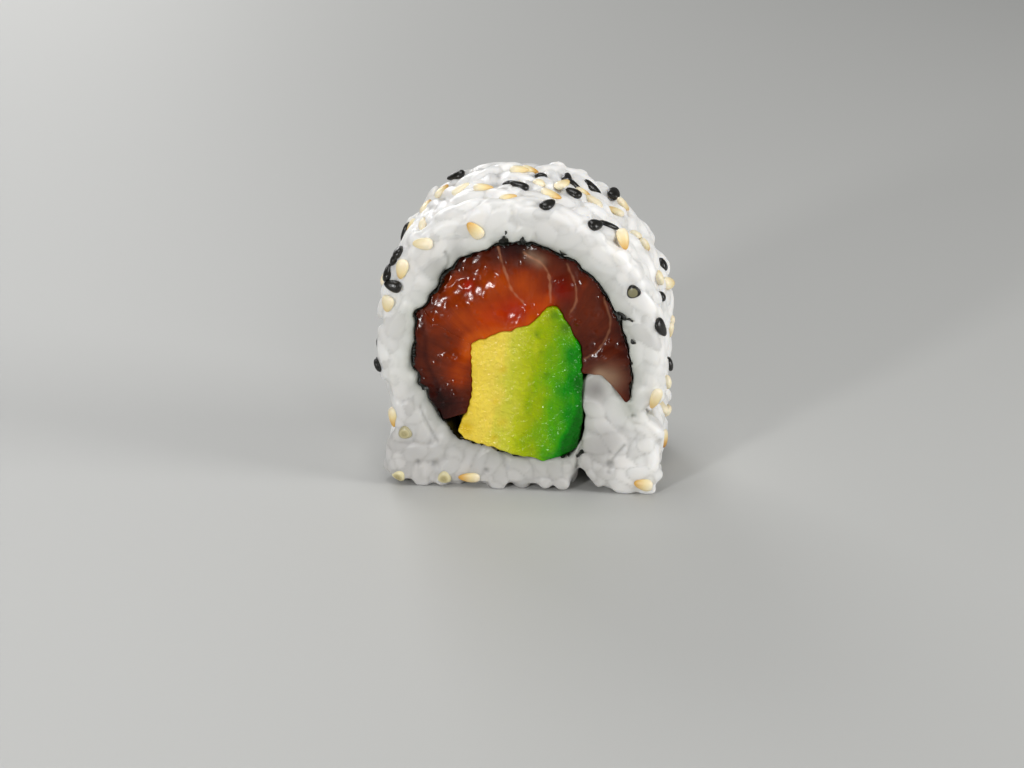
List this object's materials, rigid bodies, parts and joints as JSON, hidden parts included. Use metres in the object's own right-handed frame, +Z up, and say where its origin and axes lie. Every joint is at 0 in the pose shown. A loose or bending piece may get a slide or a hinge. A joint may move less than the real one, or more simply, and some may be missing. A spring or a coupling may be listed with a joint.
{
  "type": "uramaki roll",
  "caption": "Slice of inside-out sushi roll: a band of rice with sesame seeds round a nori turn that wraps salmon and avocado.",
  "frame": {"origin": "on the table under the middle of the slice", "axes": "+X to the right across the front cut face, -Y out of the front cut face along the roll, +Z up"},
  "size_m": [0.0448, 0.0252, 0.0466],
  "materials": {
    "cooked_rice": "satin",
    "toasted_nori": "matte",
    "salmon": "gloss",
    "avocado": "satin"
  },
  "bodies": {
    "root": {"rice": "cooked_rice", "nori": "toasted_nori", "salmon_over": "salmon", "salmon_left": "salmon", "avocado": "avocado"}
  },
  "joints": []
}
